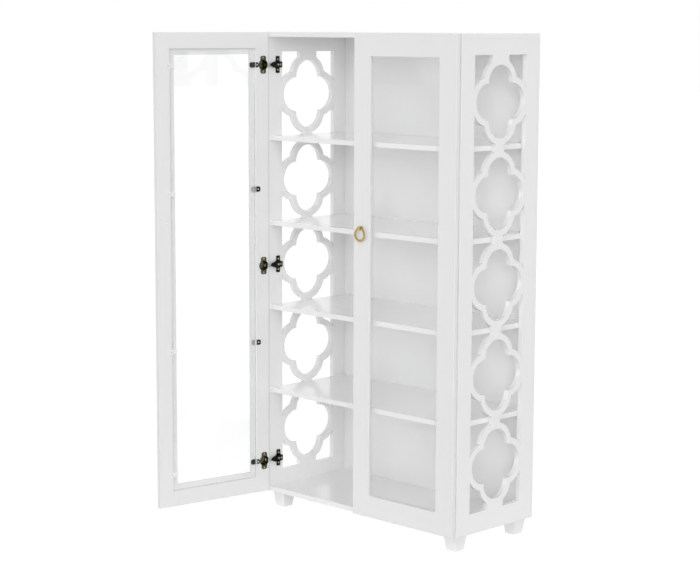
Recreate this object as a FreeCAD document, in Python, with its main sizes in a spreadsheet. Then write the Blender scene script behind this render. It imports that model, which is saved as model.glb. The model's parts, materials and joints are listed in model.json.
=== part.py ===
import FreeCAD, Part
import math
import os
import Sketcher
from FreeCAD import Placement, Rotation, Vector

# Bookcase with two glass doors, pierced fretwork sides and tapered feet.
# Millimetres. X runs to the right, Y to the back, Z up. The origin is on the
# floor, under the middle of the case. The left door stands open, the right door
# is shut.

# Driving dimensions
SIZES = {
    # case
    "case_width": 800.0,
    "case_depth": 340.0,
    "case_height": 1432.0,
    "board": 15.0,
    "back_board": 8.0,
    "edge_ease": 1.0,
    "shelf_setback": 5.0,
    "shelf_clearance": 0.1,
    # feet
    "foot_height": 50.0,
    "foot_top_width": 50.0,
    "foot_sole_width": 35.0,
    "foot_side_inset": 40.0,
    "foot_front_inset": 40.0,
    "foot_back_inset": 36.0,
    "foot_screw_radius": 4.0,
    "foot_screw_into_foot": 28.0,
    "foot_screw_into_board": 11.0,
    # pierced sides
    "fret_end_margin": 60.0,
    "fret_front_margin": 56.0,
    "fret_back_margin": 51.0,
    "lobe_end_gap": 27.2,
    "lobe_side_gap": 8.0,
    "ring_band": 18.0,
    "bridge_width": 34.0,
    "end_bridge_width": 70.0,
    "side_bridge_width": 60.0,
    "fret_round": 6.0,
    # dowels and back screws
    "dowel_radius": 4.0,
    "dowel_into_side": 10.0,
    "dowel_into_board": 20.0,
    "top_dowel_radius": 3.0,
    "top_dowel_into_top": 10.0,
    "top_dowel_into_side": 22.0,
    "dowel_front_inset": 30.0,
    "dowel_back_inset": 26.0,
    "bottom_dowel_inset": 100.0,
    "back_screw_radius": 1.5,
    "back_screw_length": 22.0,
    "back_screw_head_radius": 3.5,
    "back_screw_head": 1.5,
    "back_screw_end_inset": 45.0,
    "hole_fit": 0.05,
    # doors
    "door_thickness": 16.0,
    "door_gap": 3.0,
    "door_side_reveal": 0.5,
    "door_meeting_gap": 2.0,
    "door_top_reveal": 1.2,
    "door_foot_reveal": 2.5,
    "door_stile": 66.0,
    "door_rail": 66.0,
    "door_ease": 1.5,
    "door_hinge_round": 4.0,
    "door_lip": 8.0,
    "glass_thickness": 4.0,
    "glass_edge_gap": 1.5,
    # hinges
    "hinge_inset": 98.0,
    "cup_inset": 21.0,
    "cup_radius": 16.0,
    "cup_wall": 1.2,
    "cup_floor": 0.8,
    "cup_depth": 12.5,
    "flange_thickness": 1.2,
    "flange_wing": 11.0,
    "flange_width": 20.0,
    "flange_round": 6.0,
    "flange_rim": 0.3,
    "cup_screw_radius": 1.6,
    "cup_screw_length": 11.0,
    "cup_screw_head_radius": 3.2,
    "cup_screw_head": 1.0,
    "pin_radius": 1.1,
    "pin_fit": 0.05,
    "pin_end_gap": 0.2,
    "eye_radius": 2.3,
    "eye_side_gap": 1.0,
    "eye_floor_gap": 0.4,
    "arm_reach": 13.4,
    "arm_thickness": 2.2,
    "arm_neck_height": 8.0,
    "arm_height": 18.0,
    "arm_neck_end": 3.0,
    "arm_taper": 12.0,
    "plate_setback": 37.0,
    "plate_thickness": 2.0,
    "plate_wing_height": 52.0,
    "plate_wing_width": 15.0,
    "plate_bar_length": 24.0,
    "plate_bar_height": 20.0,
    "plate_block_height": 12.0,
    "plate_round": 3.0,
    "plate_screw_spacing": 32.0,
    "plate_screw_radius": 1.8,
    "plate_screw_length": 11.0,
    "plate_screw_head_radius": 3.6,
    "plate_screw_head": 1.6,
    "arm_screw_radius": 2.2,
    "arm_screw_head_radius": 3.6,
    "arm_screw_head": 1.8,
    "arm_screw_spread": 10.0,
    # glass clips
    "clip_land": 10.7,
    "clip_cup_gap": 0.7,
    "clip_foot": 16.7,
    "clip_free_foot": 13.7,
    "clip_length": 30.0,
    "clip_width": 16.0,
    "clip_thickness": 1.2,
    "clip_wall_gap": 0.5,
    "clip_round": 6.0,
    "clip_rise": 238.0,
    "clip_screw_radius": 1.4,
    "clip_screw_length": 10.0,
    "clip_screw_head_radius": 2.8,
    "clip_screw_head": 1.0,
    # ring pulls
    "pull_inset": 33.0,
    "pull_rise": 863.0,
    "post_radius": 5.5,
    "post_tip": 1.66,
    "post_floor": 0.86,
    "post_round": 1.2,
    "ring_standoff": 8.2,
    "ring_radius": 18.4,
    "ring_wire_radius": 2.8,
    "ring_play": 0.3,
    "pull_screw_radius": 2.0,
    "pull_screw_head_radius": 3.6,
    "pull_screw_head": 1.6,
    # how far cutting tools run past the faces that they cut
    "overrun": 1.0,
}
DOOR_OPEN_ANGLE = 99.0
FRET_CELLS = 5
SHELVES = FRET_CELLS - 1
HINGES = 3
BACK_SCREWS_PER_SIDE = 6

doc = FreeCAD.newDocument("bookcase")
sheet = doc.addObject("Spreadsheet::Sheet", "sizes")
for line, (alias, value) in enumerate(SIZES.items(), start=1):
    sheet.set(f"A{line}", alias)
    sheet.set(f"B{line}", str(value))
    sheet.setAlias(f"B{line}", alias)
doc.recompute()


class Size:
    """A length: its value now, and the sheet expression that gives it."""

    def __init__(self, value, text):
        self.value = value
        self.text = text

    def __add__(self, other):
        return Size(self.value + other.value, f"({self.text} + {other.text})")

    def __sub__(self, other):
        return Size(self.value - other.value, f"({self.text} - {other.text})")

    def __neg__(self):
        return Size(-self.value, f"(-{self.text})")

    def __mul__(self, factor):
        return Size(self.value * factor, f"({self.text} * {factor!r})")

    def __truediv__(self, divisor):
        return Size(self.value / divisor, f"({self.text} / {divisor!r})")


def size(alias):
    return Size(float(sheet.get(alias)), f"sizes.{alias}")


def leg(long_side, short_side):
    """The other short side of a right triangle."""
    value = math.sqrt(long_side.value ** 2 - short_side.value ** 2)
    return Size(value, f"sqrt({long_side.text}^2 - {short_side.text}^2)")


def smaller(a, b):
    return Size(min(a.value, b.value), f"min({a.text}; {b.text})")


ZERO = Size(0.0, "0")
nodes = []


def node(label, piece):
    """Names a finished sub-part."""
    piece.Label = label
    nodes.append(piece)
    return piece


def place(piece, x, y, z):
    piece.setExpression("Placement.Base.x", x.text)
    piece.setExpression("Placement.Base.y", y.text)
    piece.setExpression("Placement.Base.z", z.text)


def block(name, x, y, z):
    """A box between pairs of low and high places."""
    box = doc.addObject("Part::Box", name)
    box.setExpression("Length", (x[1] - x[0]).text)
    box.setExpression("Width", (y[1] - y[0]).text)
    box.setExpression("Height", (z[1] - z[0]).text)
    place(box, x[0], y[0], z[0])
    return box


TURNS = {
    "x": Rotation(Vector(0, 1, 0), 90),
    "y": Rotation(Vector(1, 0, 0), -90),
    "z": Rotation(),
}


def rod(name, axis, radius, x, y, z):
    """A cylinder along one axis, where that axis has a low and high place."""
    cylinder = doc.addObject("Part::Cylinder", name)
    spans = {"x": x, "y": y, "z": z}
    low, high = spans[axis]
    spans[axis] = low
    cylinder.setExpression("Radius", radius.text)
    cylinder.setExpression("Height", (high - low).text)
    cylinder.Placement.Rotation = TURNS[axis]
    place(cylinder, spans["x"], spans["y"], spans["z"])
    return cylinder


def joined(name, pieces):
    fuse = doc.addObject("Part::MultiFuse", name)
    fuse.Shapes = pieces
    fuse.Refine = True
    return fuse


def group(name, pieces):
    """Several separate solids in one sub-part."""
    compound = doc.addObject("Part::Compound", name)
    compound.Links = pieces
    return compound


def cut(name, base, tools):
    result = doc.addObject("Part::Cut", name)
    result.Base = base
    result.Tool = tools[0] if len(tools) == 1 else group(f"{name}_tools", tools)
    return result


def rounded(name, base, radius, wanted):
    """Rounds the edges of a piece that the test picks."""
    doc.recompute()
    picks = [i for i, edge in enumerate(base.Shape.Edges, start=1) if wanted(edge)]
    fillet = doc.addObject("Part::Fillet", name)
    fillet.Base = base
    fillet.Edges = [(i, radius.value, radius.value) for i in picks]
    return fillet


def mirrored(label, source, turn=None):
    """The left-hand twin of a right-hand piece."""
    twin = doc.addObject("Part::Mirroring", label)
    twin.Source = source
    twin.Base = Vector(0, 0, 0)
    twin.Normal = Vector(1, 0, 0)
    if turn is not None:
        twin.Placement = turn
    return node(label, twin)


TOLERANCE = 1e-6
X_AXIS = Vector(1, 0, 0)
Y_AXIS = Vector(0, 1, 0)
Z_AXIS = Vector(0, 0, 1)


def along(edge, axis):
    """Whether an edge is a straight run along an axis."""
    if edge.Curve.TypeId != "Part::GeomLine":
        return False
    return abs(abs(edge.tangentAt(edge.FirstParameter).dot(axis)) - 1) < TOLERANCE


def near(a, b):
    return abs(a - b) < TOLERANCE


# Sketch helpers

def body(name):
    return doc.addObject("PartDesign::Body", name)


def sketch_on(owner, role, name):
    drawing = owner.newObject("Sketcher::SketchObject", name)
    planes = [plane for plane in owner.Origin.OriginFeatures if plane.Role == role]
    drawing.AttachmentSupport = (planes[0], [""])
    drawing.MapMode = "FlatFace"
    return drawing


def hold(drawing, constraint, length):
    index = drawing.addConstraint(constraint)
    drawing.setExpression(f"Constraints[{index}]", length.text)


ORIGIN = (-1, 1)


def hold_point(drawing, point, x, y):
    """Ties a point of a sketch to its two places from the sketch's origin."""
    if x.text == ZERO.text:
        drawing.addConstraint(Sketcher.Constraint("PointOnObject", *point, -2))
    else:
        hold(drawing, Sketcher.Constraint("DistanceX", *ORIGIN, *point, x.value), x)
    if y.text == ZERO.text:
        drawing.addConstraint(Sketcher.Constraint("PointOnObject", *point, -1))
    else:
        hold(drawing, Sketcher.Constraint("DistanceY", *ORIGIN, *point, y.value), y)


def draw_rectangle(drawing, x, y):
    corners = [(x[0], y[0]), (x[1], y[0]), (x[1], y[1]), (x[0], y[1])]
    points = [Vector(a.value, b.value, 0) for a, b in corners]
    lines = []
    for start, end in zip(points, points[1:] + points[:1]):
        lines.append(drawing.addGeometry(Part.LineSegment(start, end), False))
    for line, following in zip(lines, lines[1:] + lines[:1]):
        drawing.addConstraint(Sketcher.Constraint("Coincident", line, 2, following, 1))
    for line in lines[0::2]:
        drawing.addConstraint(Sketcher.Constraint("Horizontal", line))
    for line in lines[1::2]:
        drawing.addConstraint(Sketcher.Constraint("Vertical", line))
    hold_point(drawing, (lines[0], 1), x[0], y[0])
    hold_point(drawing, (lines[2], 1), x[1], y[1])


def draw_circle(drawing, x, y, radius):
    circle = Part.Circle(Vector(x.value, y.value, 0), Vector(0, 0, 1), radius.value)
    index = drawing.addGeometry(circle, False)
    hold_point(drawing, (index, 3), x, y)
    hold(drawing, Sketcher.Constraint("Radius", index, radius.value), radius)


def draw_quatrefoil(drawing, x, y, offset, radius):
    """Four lobes round a centre, meeting at cusps on the diagonals."""
    cusp = (offset.value + math.sqrt(2 * radius.value ** 2 - offset.value ** 2)) / 2
    half_turn = math.atan2(cusp, cusp - offset.value)
    middles = [(x + offset, y), (x, y + offset), (x - offset, y), (x, y - offset)]
    arcs = []
    for quarter, (a, b) in enumerate(middles):
        facing = quarter * math.pi / 2
        circle = Part.Circle(Vector(a.value, b.value, 0), Vector(0, 0, 1), radius.value)
        arc = Part.ArcOfCircle(circle, facing - half_turn, facing + half_turn)
        arcs.append(drawing.addGeometry(arc, False))
    for arc, following in zip(arcs, arcs[1:] + arcs[:1]):
        drawing.addConstraint(Sketcher.Constraint("Coincident", arc, 2, following, 1))
    for arc, (a, b) in zip(arcs, middles):
        hold_point(drawing, (arc, 3), a, b)
    hold(drawing, Sketcher.Constraint("Radius", arcs[0], radius.value), radius)
    for arc in arcs[1:]:
        drawing.addConstraint(Sketcher.Constraint("Equal", arcs[0], arc))


def pad(owner, drawing, length, name):
    feature = owner.newObject("PartDesign::Pad", name)
    feature.Profile = drawing
    feature.setExpression("Length", length.text)
    doc.recompute()
    return feature


def pocket(owner, drawing, depth, name):
    """Cuts from the sketch's plane into the side that its pad went."""
    before = owner.Shape.Volume
    feature = owner.newObject("PartDesign::Pocket", name)
    feature.Profile = drawing
    feature.Reversed = True
    feature.setExpression("Length", depth.text)
    doc.recompute()
    if not owner.Shape.Volume < before:
        raise RuntimeError(f"{name} cut nothing")
    return feature


def row(owner, feature, drawing, count, length, name):
    """Repeats a feature up the sketch's own vertical axis."""
    pattern = owner.newObject("PartDesign::LinearPattern", name)
    pattern.Originals = [feature]
    pattern.Direction = (drawing, ["V_Axis"])
    pattern.Occurrences = count
    pattern.setExpression("Length", length.text)
    owner.Tip = pattern
    doc.recompute()
    return pattern


def round_edges(owner, radius, wanted, name):
    doc.recompute()
    base = owner.Tip
    picks = [f"Edge{i}" for i, edge in enumerate(base.Shape.Edges, start=1) if wanted(edge)]
    fillet = owner.newObject("PartDesign::Fillet", name)
    fillet.Base = (base, picks)
    fillet.setExpression("Radius", radius.text)
    owner.Tip = fillet
    doc.recompute()
    return fillet


# Places that the pieces share
board = size("board")
half_width = size("case_width") / 2
front = -(size("case_depth") / 2)
back = size("case_depth") / 2
case_low = size("foot_height")
case_high = case_low + size("case_height")
side_inner = half_width - board
side_high = case_high - board
side_back = back - size("back_board")
hole_fit = size("hole_fit")
overrun = size("overrun")
fret_pitch = (size("case_height") - size("fret_end_margin") * 2) / FRET_CELLS
fret_width = side_back - front - size("fret_front_margin") - size("fret_back_margin")
lobe_radius = smaller(fret_pitch / 2 - size("lobe_end_gap"), fret_width / 2 - size("lobe_side_gap")) / 2
shelf_middles = [case_low + size("fret_end_margin") + fret_pitch * (i + 1) for i in range(SHELVES)]
dowel_rows = [front + size("dowel_front_inset"), side_back - size("dowel_back_inset")]
bottom_dowel_rows = [front + size("bottom_dowel_inset"), side_back - size("bottom_dowel_inset")]
bottom_middle = case_low + board / 2

# Places on the right door, shut
door_edge = half_width - size("door_side_reveal")
door_free = size("door_meeting_gap") / 2
door_inner = front - size("door_gap")
door_front = door_inner - size("door_thickness")
door_low = case_low + size("door_foot_reveal")
door_high = case_high - size("door_top_reveal")
door_middle = (door_low + door_high) / 2
hinge_heights = [door_low + size("hinge_inset"), door_middle, door_high - size("hinge_inset")]
clip_heights = [
    hinge_heights[0],
    door_middle - size("clip_rise"),
    door_middle + size("clip_rise"),
    hinge_heights[2],
]
cup_x = door_edge - size("cup_inset")
cup_hollow = size("cup_radius") - size("cup_wall")
cup_rim = size("cup_radius") + size("flange_rim")
pin_offset = cup_hollow - size("eye_radius") - size("eye_side_gap")
pin_x = cup_x + pin_offset
pin_depth = size("cup_depth") - size("cup_floor") - size("eye_radius") - size("eye_floor_gap")
pin_y = door_inner - pin_depth
rebate_inset = size("cup_inset") + cup_rim + size("clip_land")
rebate_depth = size("door_thickness") - size("door_lip")
glass_back = door_inner - rebate_depth + size("glass_thickness")
clip_wall = rebate_inset + size("clip_wall_gap")
clip_step = clip_wall + size("clip_thickness")
pull_x = door_free + size("pull_inset")
pull_z = door_low + size("pull_rise")
plate_y = front + size("plate_setback")
plate_bar_y = (plate_y - size("plate_bar_length") / 2, plate_y + size("plate_bar_length") / 2)
arm_x = pin_x - size("arm_reach")
arm_face = arm_x + size("arm_thickness") / 2
arm_outer = arm_x - size("arm_thickness") / 2
plate_face = side_inner - size("plate_thickness")
arm_screw_rows = [plate_y - size("arm_screw_spread") / 2, plate_y + size("arm_screw_spread") / 2]
back_screw_x = half_width - board / 2
back_screw_low = case_low + size("back_screw_end_inset")
back_screw_step = (side_high - size("back_screw_end_inset") - back_screw_low) / (BACK_SCREWS_PER_SIDE - 1)
back_screw_heights = [back_screw_low + back_screw_step * i for i in range(BACK_SCREWS_PER_SIDE)]


def offsets(spacing):
    """Two places either side of a middle."""
    return [-(spacing / 2), spacing / 2]


def plate_screw_places():
    spots = []
    for height in hinge_heights:
        for step in offsets(size("plate_screw_spacing")):
            spots.append((plate_y, height + step))
    return spots


cup_screw_spacing = size("cup_radius") * 2 + size("flange_wing")


def cup_screw_places():
    spots = []
    for height in hinge_heights:
        for step in offsets(cup_screw_spacing):
            spots.append((cup_x, height + step))
    return spots


def hinge_clip_insets():
    """Outer ends of the clips, from the hinge edge: those beside a cup stand further in."""
    beside_cup = size("cup_inset") + cup_rim + size("clip_cup_gap")
    between = clip_step - size("clip_foot")
    return [beside_cup, between, between, beside_cup]


def free_clip_insets():
    """Outer ends of the clips, from the free edge."""
    return [clip_step - size("clip_free_foot")] * len(clip_heights)


def clip_screw_inset(inset):
    """A clip's screw stands in the middle of its foot."""
    return (inset + clip_wall) / 2


def clip_screw_places():
    spots = []
    for inset, height in zip(hinge_clip_insets(), clip_heights):
        spots.append((door_edge - clip_screw_inset(inset), height))
    for inset, height in zip(free_clip_insets(), clip_heights):
        spots.append((door_free + clip_screw_inset(inset), height))
    return spots


# Pierced side panel, drawn from its lower front corner on the inner face
def make_side_panel():
    panel = body("pierced_side")
    depth = size("case_depth") - size("back_board")
    height = size("case_height") - board
    margin = size("fret_end_margin")
    near_edge = size("fret_front_margin")
    far_edge = near_edge + fret_width
    band_high = size("case_height") - margin
    middle = near_edge + fret_width / 2
    first = margin + fret_pitch / 2
    run = fret_pitch * (FRET_CELLS - 1)

    outline = sketch_on(panel, "YZ_Plane", "panel_outline")
    draw_rectangle(outline, (ZERO, depth), (ZERO, height))
    draw_rectangle(outline, (near_edge, far_edge), (margin, band_high))
    pad(panel, outline, board, "panel_frame")

    bridges = sketch_on(panel, "YZ_Plane", "bridge_outline")
    half_bridge = size("bridge_width") / 2
    draw_rectangle(bridges, (middle - half_bridge, middle + half_bridge), (margin, band_high))
    pad(panel, bridges, board, "bridges")

    ends = sketch_on(panel, "YZ_Plane", "end_bridge_outline")
    half_end = size("end_bridge_width") / 2
    reach = fret_pitch / 2 - lobe_radius
    draw_rectangle(ends, (middle - half_end, middle + half_end), (margin, margin + reach))
    draw_rectangle(ends, (middle - half_end, middle + half_end), (band_high - reach, band_high))
    pad(panel, ends, board, "end_bridges")

    sides = sketch_on(panel, "YZ_Plane", "side_bridge_outline")
    half_side = size("side_bridge_width") / 2
    cell_side = (first - half_side, first + half_side)
    draw_rectangle(sides, (near_edge, middle - lobe_radius), cell_side)
    draw_rectangle(sides, (middle + lobe_radius, far_edge), cell_side)
    side = pad(panel, sides, board, "side_bridge")
    row(panel, side, sides, FRET_CELLS, run, "side_bridge_row")

    rings = sketch_on(panel, "YZ_Plane", "ring_outline")
    draw_quatrefoil(rings, middle, first, lobe_radius, lobe_radius + size("ring_band"))
    ring = pad(panel, rings, board, "ring")
    row(panel, ring, rings, FRET_CELLS, run, "ring_row")

    holes = sketch_on(panel, "YZ_Plane", "quatrefoil_outline")
    draw_quatrefoil(holes, middle, first, lobe_radius, lobe_radius)
    hole = pocket(panel, holes, board, "quatrefoil")
    row(panel, hole, holes, FRET_CELLS, run, "quatrefoil_row")

    def beside_bridge(edge):
        if not along(edge, X_AXIS):
            return False
        spot = edge.CenterOfMass
        return near(abs(spot.y - middle.value), half_bridge.value)

    round_edges(panel, size("fret_round"), beside_bridge, "bridge_rounding")

    def outer_rim(edge):
        on_face = near(edge.BoundBox.XMin, board.value) and near(edge.BoundBox.XMax, board.value)
        upright = along(edge, Z_AXIS) and near(edge.BoundBox.YMin, 0)
        return on_face and upright

    round_edges(panel, size("edge_ease"), outer_rim, "panel_easing")

    sockets = sketch_on(panel, "YZ_Plane", "dowel_sockets")
    spots = [(spot, bottom_middle) for spot in bottom_dowel_rows]
    for level in shelf_middles:
        spots += [(spot, level) for spot in dowel_rows]
    for spot, level in spots:
        draw_circle(sockets, spot - front, level - case_low, size("dowel_radius") + hole_fit)
    pocket(panel, sockets, size("dowel_into_side") + hole_fit, "dowel_holes")

    pilots = sketch_on(panel, "YZ_Plane", "plate_pilots")
    for spot, level in plate_screw_places():
        draw_circle(pilots, spot - front, level - case_low, size("plate_screw_radius") + hole_fit)
    pocket(panel, pilots, size("plate_screw_length"), "plate_screw_holes")

    place(panel, side_inner, front, case_low)
    return panel


# Holes that run into the edges of the side panels
def side_edge_holes():
    tools = []
    low = side_high - size("top_dowel_into_side") - hole_fit
    for i, spot in enumerate(dowel_rows):
        radius = size("top_dowel_radius") + hole_fit
        tools.append(rod(f"top_socket_{i}", "z", radius, back_screw_x, spot, (low, side_high + overrun)))
    reach = size("back_screw_length") - size("back_board")
    for i, level in enumerate(back_screw_heights):
        radius = size("back_screw_radius") + hole_fit
        span = (side_back - reach, side_back + overrun)
        tools.append(rod(f"back_pilot_{i}", "y", radius, back_screw_x, span, level))
    return tools


right_side = node("right_side_panel", cut("right_side", make_side_panel(), side_edge_holes()))
mirrored("left_side_panel", right_side)


def both_sides(makers):
    """Makes the same small pieces on the right (1) and on the left (-1)."""
    pieces = []
    for side in (1, -1):
        for i, maker in enumerate(makers):
            pieces.append(maker(side, i))
    return pieces


# Dowels between boards, and the sockets that they need
def lying_dowel(name, side, reach_in, reach_out, radius, spot, level):
    if side > 0:
        span = (side_inner - reach_in, side_inner + reach_out)
    else:
        span = (-(side_inner + reach_out), -(side_inner - reach_in))
    return rod(name, "x", radius, span, spot, level)


def board_sockets(name, level, spots):
    tools = []
    radius = size("dowel_radius") + hole_fit
    for side in (1, -1):
        for i, spot in enumerate(spots):
            reach = size("dowel_into_board") + hole_fit
            label = f"{name}_socket_{side}_{i}"
            tools.append(lying_dowel(label, side, reach, overrun, radius, spot, level))
    return tools


def level_dowels(name, level, spots):
    pieces = []
    for side in (1, -1):
        for i, spot in enumerate(spots):
            label = f"{name}_{side}_{i}"
            reach_in = size("dowel_into_board")
            reach_out = size("dowel_into_side")
            pieces.append(lying_dowel(label, side, reach_in, reach_out, size("dowel_radius"), spot, level))
    return pieces


def top_dowels(radius, into_side, into_top, name):
    pieces = []
    for side in (1, -1):
        for i, spot in enumerate(dowel_rows):
            span = (side_high - into_side, side_high + into_top)
            pieces.append(rod(f"{name}_{side}_{i}", "z", radius, back_screw_x * side, spot, span))
    return pieces


# Top, bottom, back and shelves
def make_top_panel():
    base = block("top_board", (-half_width, half_width), (front, back), (side_high, case_high))

    def rim(edge):
        return edge.BoundBox.ZMax > side_high.value + TOLERANCE

    eased = rounded("top_eased", base, size("edge_ease"), rim)
    radius = size("top_dowel_radius") + hole_fit
    into_top = size("top_dowel_into_top") + hole_fit
    return cut("top_cut", eased, top_dowels(radius, overrun, into_top, "top_panel_socket"))


def foot_places():
    across = half_width - size("foot_side_inset")
    near_row = front + size("foot_front_inset")
    far_row = back - size("foot_back_inset")
    return {
        "front_left_foot": (-across, near_row),
        "front_right_foot": (across, near_row),
        "back_left_foot": (-across, far_row),
        "back_right_foot": (across, far_row),
    }


def make_bottom_panel():
    gap = size("shelf_clearance")
    across = (gap - side_inner, side_inner - gap)
    base = block("bottom_board", across, (front, side_back), (case_low, case_low + board))
    tools = board_sockets("bottom", bottom_middle, bottom_dowel_rows)
    for name, (x, y) in foot_places().items():
        radius = size("foot_screw_radius") + hole_fit
        span = (case_low - overrun, case_low + size("foot_screw_into_board") + hole_fit)
        tools.append(rod(f"{name}_socket", "z", radius, x, y, span))
    return cut("bottom_cut", base, tools)


def make_back_panel():
    base = block("back_sheet", (-half_width, half_width), (side_back, back), (case_low, side_high))
    tools = []
    for side in (1, -1):
        for i, level in enumerate(back_screw_heights):
            radius = size("back_screw_radius") + hole_fit
            span = (side_back - overrun, back + overrun)
            tools.append(rod(f"back_hole_{side}_{i}", "y", radius, back_screw_x * side, span, level))
    return cut("back_cut", base, tools)


def make_shelf(i):
    gap = size("shelf_clearance")
    level = shelf_middles[i]
    near_edge = front + size("shelf_setback")
    span = (level - board / 2, level + board / 2)
    base = block(f"shelf_board_{i}", (gap - side_inner, side_inner - gap), (near_edge, side_back), span)

    def front_edges(edge):
        return along(edge, X_AXIS) and near(edge.CenterOfMass.y, near_edge.value)

    eased = rounded(f"shelf_eased_{i}", base, size("edge_ease"), front_edges)
    return cut(f"shelf_cut_{i}", eased, board_sockets(f"shelf_{i}", level, dowel_rows))


node("top_panel", make_top_panel())
node("bottom_panel", make_bottom_panel())
node("back_panel", make_back_panel())
for i in range(SHELVES):
    node(f"shelf_{i + 1}", make_shelf(i))

panel_dowels = top_dowels(
    size("top_dowel_radius"), size("top_dowel_into_side"), size("top_dowel_into_top"), "top_dowel"
)
panel_dowels += level_dowels("bottom_dowel", bottom_middle, bottom_dowel_rows)
node("panel_dowels", group("panel_dowel_set", panel_dowels))
shelf_dowels = []
for i, level in enumerate(shelf_middles):
    shelf_dowels += level_dowels(f"shelf_dowel_{i}", level, dowel_rows)
node("shelf_dowels", group("shelf_dowel_set", shelf_dowels))


def back_screw(side, i):
    x = back_screw_x * side
    level = back_screw_heights[i]
    tip = back - size("back_screw_length")
    shank = rod(f"back_shank_{side}_{i}", "y", size("back_screw_radius"), x, (tip, back), level)
    head_span = (back, back + size("back_screw_head"))
    head = rod(f"back_head_{side}_{i}", "y", size("back_screw_head_radius"), x, head_span, level)
    return joined(f"back_screw_{side}_{i}", [shank, head])


node("back_screws", group("back_screw_set", both_sides([back_screw] * BACK_SCREWS_PER_SIDE)))


# Tapered feet and the double-ended screws inside them
def make_foot(name, x, y):
    foot = doc.addObject("Part::Wedge", f"{name}_taper")
    half_top = size("foot_top_width") / 2
    half_sole = size("foot_sole_width") / 2
    for side in ("X", "Z"):
        foot.setExpression(f"{side}min", (-half_sole).text)
        foot.setExpression(f"{side}max", half_sole.text)
        foot.setExpression(f"{side}2min", (-half_top).text)
        foot.setExpression(f"{side}2max", half_top.text)
    foot.Ymin = 0
    foot.setExpression("Ymax", size("foot_height").text)
    foot.Placement.Rotation = Rotation(X_AXIS, 90)
    place(foot, x, y, ZERO)

    def arris(edge):
        return edge.BoundBox.ZLength > TOLERANCE

    eased = rounded(f"{name}_eased", foot, size("edge_ease"), arris)
    radius = size("foot_screw_radius") + hole_fit
    span = (case_low - size("foot_screw_into_foot") - hole_fit, case_low + overrun)
    return cut(f"{name}_cut", eased, [rod(f"{name}_hole", "z", radius, x, y, span)])


foot_screws = []
for name, (x, y) in foot_places().items():
    node(name, make_foot(name, x, y))
    span = (case_low - size("foot_screw_into_foot"), case_low + size("foot_screw_into_board"))
    foot_screws.append(rod(f"{name}_screw", "z", size("foot_screw_radius"), x, y, span))
node("foot_screws", group("foot_screw_set", foot_screws))


# Right door frame, drawn from its lower free corner on the inner face
def make_door_frame():
    frame = body("door_blank")
    width = door_edge - door_free
    height = door_high - door_low
    stile = size("door_stile")
    rail = size("door_rail")

    outline = sketch_on(frame, "XZ_Plane", "door_outline")
    draw_rectangle(outline, (ZERO, width), (ZERO, height))
    draw_rectangle(outline, (stile, width - stile), (rail, height - rail))
    pad(frame, outline, size("door_thickness"), "door_board")

    def hinge_corner(edge):
        spot = edge.CenterOfMass
        return along(edge, Z_AXIS) and near(spot.x, width.value) and near(spot.y, 0)

    round_edges(frame, size("door_hinge_round"), hinge_corner, "hinge_edge_rounding")

    def front_edges(edge):
        box = edge.BoundBox
        at_front = near(box.YMin, -size("door_thickness").value) and near(box.YMax, box.YMin)
        return at_front

    round_edges(frame, size("door_ease"), front_edges, "front_easing")

    ledge = sketch_on(frame, "XZ_Plane", "rebate_outline")
    draw_rectangle(ledge, (rebate_inset, width - rebate_inset), (rebate_inset, height - rebate_inset))
    pocket(frame, ledge, rebate_depth, "glass_rebate")

    cups = sketch_on(frame, "XZ_Plane", "cup_outline")
    for level in hinge_heights:
        draw_circle(cups, cup_x - door_free, level - door_low, size("cup_radius") + hole_fit)
    pocket(frame, cups, size("cup_depth") + hole_fit, "cup_recesses")

    cup_pilots = sketch_on(frame, "XZ_Plane", "cup_pilots")
    for x, level in cup_screw_places():
        draw_circle(cup_pilots, x - door_free, level - door_low, size("cup_screw_radius") + hole_fit)
    pocket(frame, cup_pilots, size("cup_screw_length"), "cup_screw_holes")

    clip_pilots = sketch_on(frame, "XZ_Plane", "clip_pilots")
    for x, level in clip_screw_places():
        draw_circle(clip_pilots, x - door_free, level - door_low, size("clip_screw_radius") + hole_fit)
    pocket(frame, clip_pilots, size("clip_screw_length"), "clip_screw_holes")

    pull_hole = sketch_on(frame, "XZ_Plane", "pull_hole_outline")
    draw_circle(pull_hole, pull_x - door_free, pull_z - door_low, size("pull_screw_radius") + hole_fit)
    pocket(frame, pull_hole, size("door_thickness") + overrun, "pull_screw_hole")

    place(frame, door_free, door_inner, door_low)
    return frame


def make_glass():
    inset = rebate_inset + size("glass_edge_gap")
    x = (door_free + inset, door_edge - inset)
    y = (glass_back - size("glass_thickness"), glass_back)
    return block("right_pane", x, y, (door_low + inset, door_high - inset))


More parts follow.
